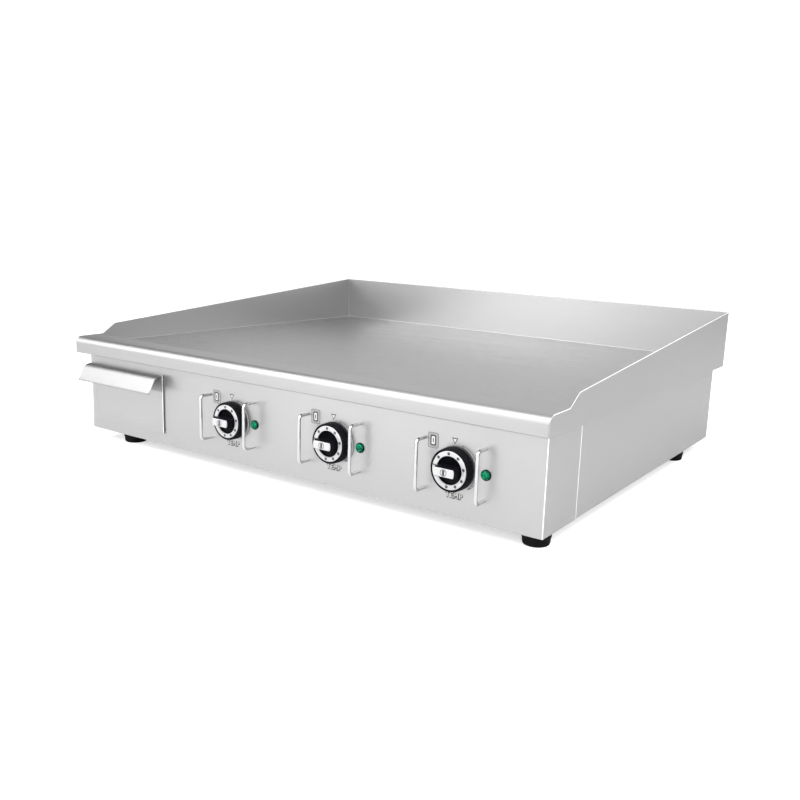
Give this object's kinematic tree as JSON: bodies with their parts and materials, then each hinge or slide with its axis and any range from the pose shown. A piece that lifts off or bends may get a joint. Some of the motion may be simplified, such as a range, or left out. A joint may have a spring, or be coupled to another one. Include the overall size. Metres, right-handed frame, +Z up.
{
  "type": "electric griddle",
  "caption": "Countertop electric griddle: flat steel plate with splash guards on three sides, front grease trough, drip drawer, turning thermostat knobs between wire guards, short rubber feet.",
  "frame": {"origin": "on the table, under the middle of the object's bounding box", "axes": "+X to the right along the front, +Y from the front to the back, +Z up"},
  "size_m": [0.92, 0.765, 0.26],
  "materials": {
    "brushed_steel": "brushed stainless sheet, satin",
    "polished_steel": "finely brushed stainless sheet, brighter than the body",
    "ground_plate_steel": "ground flat steel, soft sheen",
    "chrome": "bright plated",
    "tube_and_spindle_steel": "plain drawn metal",
    "element_sheath": "heat-darkened tube",
    "black_phenolic": "satin black moulding",
    "green_lens": "clear green lens",
    "black_rubber": "matt black rubber",
    "ceramic_fibre": "soft white blanket",
    "grey_plastic": "matt grey moulding"
  },
  "bodies": {
    "body": {"base_plate": "brushed_steel", "cable_gland": "grey_plastic", "capillary_bulb_1": "tube_and_spindle_steel", "capillary_bulb_2": "tube_and_spindle_steel", "capillary_bulb_3": "tube_and_spindle_steel", "drain_spout": "brushed_steel", "drawer_runner_left": "brushed_steel", "drawer_runner_right": "brushed_steel", "foot_front_left": "black_rubber", "foot_front_right": "black_rubber", "foot_rear_left": "black_rubber", "foot_rear_right": "black_rubber", "front_nosing": "polished_steel", "front_panel": "brushed_steel", "grease_trough": "brushed_steel", "griddle_plate": "ground_plate_steel", "heat_shield_tray": "brushed_steel", "heating_element_1": "element_sheath", "heating_element_2": "element_sheath", "heating_element_3": "element_sheath", "insulation_blanket": "ceramic_fibre", "knob_guard_1_left": "chrome", "knob_guard_1_right": "chrome", "knob_guard_2_left": "chrome", "knob_guard_2_right": "chrome", "knob_guard_3_left": "chrome", "knob_guard_3_right": "chrome", "pilot_lamp_body_1": "grey_plastic", "pilot_lamp_body_2": "grey_plastic", "pilot_lamp_body_3": "grey_plastic", "pilot_lens_1": "green_lens", "pilot_lens_2": "green_lens", "pilot_lens_3": "green_lens", "rear_panel": "brushed_steel", "side_panel_left": "brushed_steel", "side_panel_right": "brushed_steel", "splash_guard_left": "brushed_steel", "splash_guard_rear": "brushed_steel", "splash_guard_right": "brushed_steel", "support_frame": "brushed_steel", "terminal_block": "grey_plastic", "thermostat_1": "grey_plastic", "thermostat_2": "grey_plastic", "thermostat_3": "grey_plastic"},
    "knob_1": {"knob_1_dial": "black_phenolic", "knob_1_ring": "chrome", "knob_1_cap": "chrome", "knob_1_spindle": "tube_and_spindle_steel"},
    "knob_2": {"knob_2_dial": "black_phenolic", "knob_2_ring": "chrome", "knob_2_cap": "chrome", "knob_2_spindle": "tube_and_spindle_steel"},
    "knob_3": {"knob_3_dial": "black_phenolic", "knob_3_ring": "chrome", "knob_3_cap": "chrome", "knob_3_spindle": "tube_and_spindle_steel"},
    "drip_drawer": {"drawer_front": "brushed_steel", "drawer_tray": "brushed_steel", "drawer_handle": "polished_steel"}
  },
  "joints": [
    {"name": "knob_1_turn", "type": "hinge", "parent": "body", "child": "knob_1", "pos_m": [-0.0955, -0.3505, 0.088], "axis": [0, 1, 0], "range_deg": [0, 270]},
    {"name": "knob_2_turn", "type": "hinge", "parent": "body", "child": "knob_2", "pos_m": [0.1105, -0.3505, 0.088], "axis": [0, 1, 0], "range_deg": [0, 270]},
    {"name": "knob_3_turn", "type": "hinge", "parent": "body", "child": "knob_3", "pos_m": [0.3165, -0.3505, 0.088], "axis": [0, 1, 0], "range_deg": [0, 270]},
    {"name": "drip_drawer_slide", "type": "slide", "parent": "body", "child": "drip_drawer", "axis": [0, -1, 0], "range_m": [0, 0.3]}
  ]
}
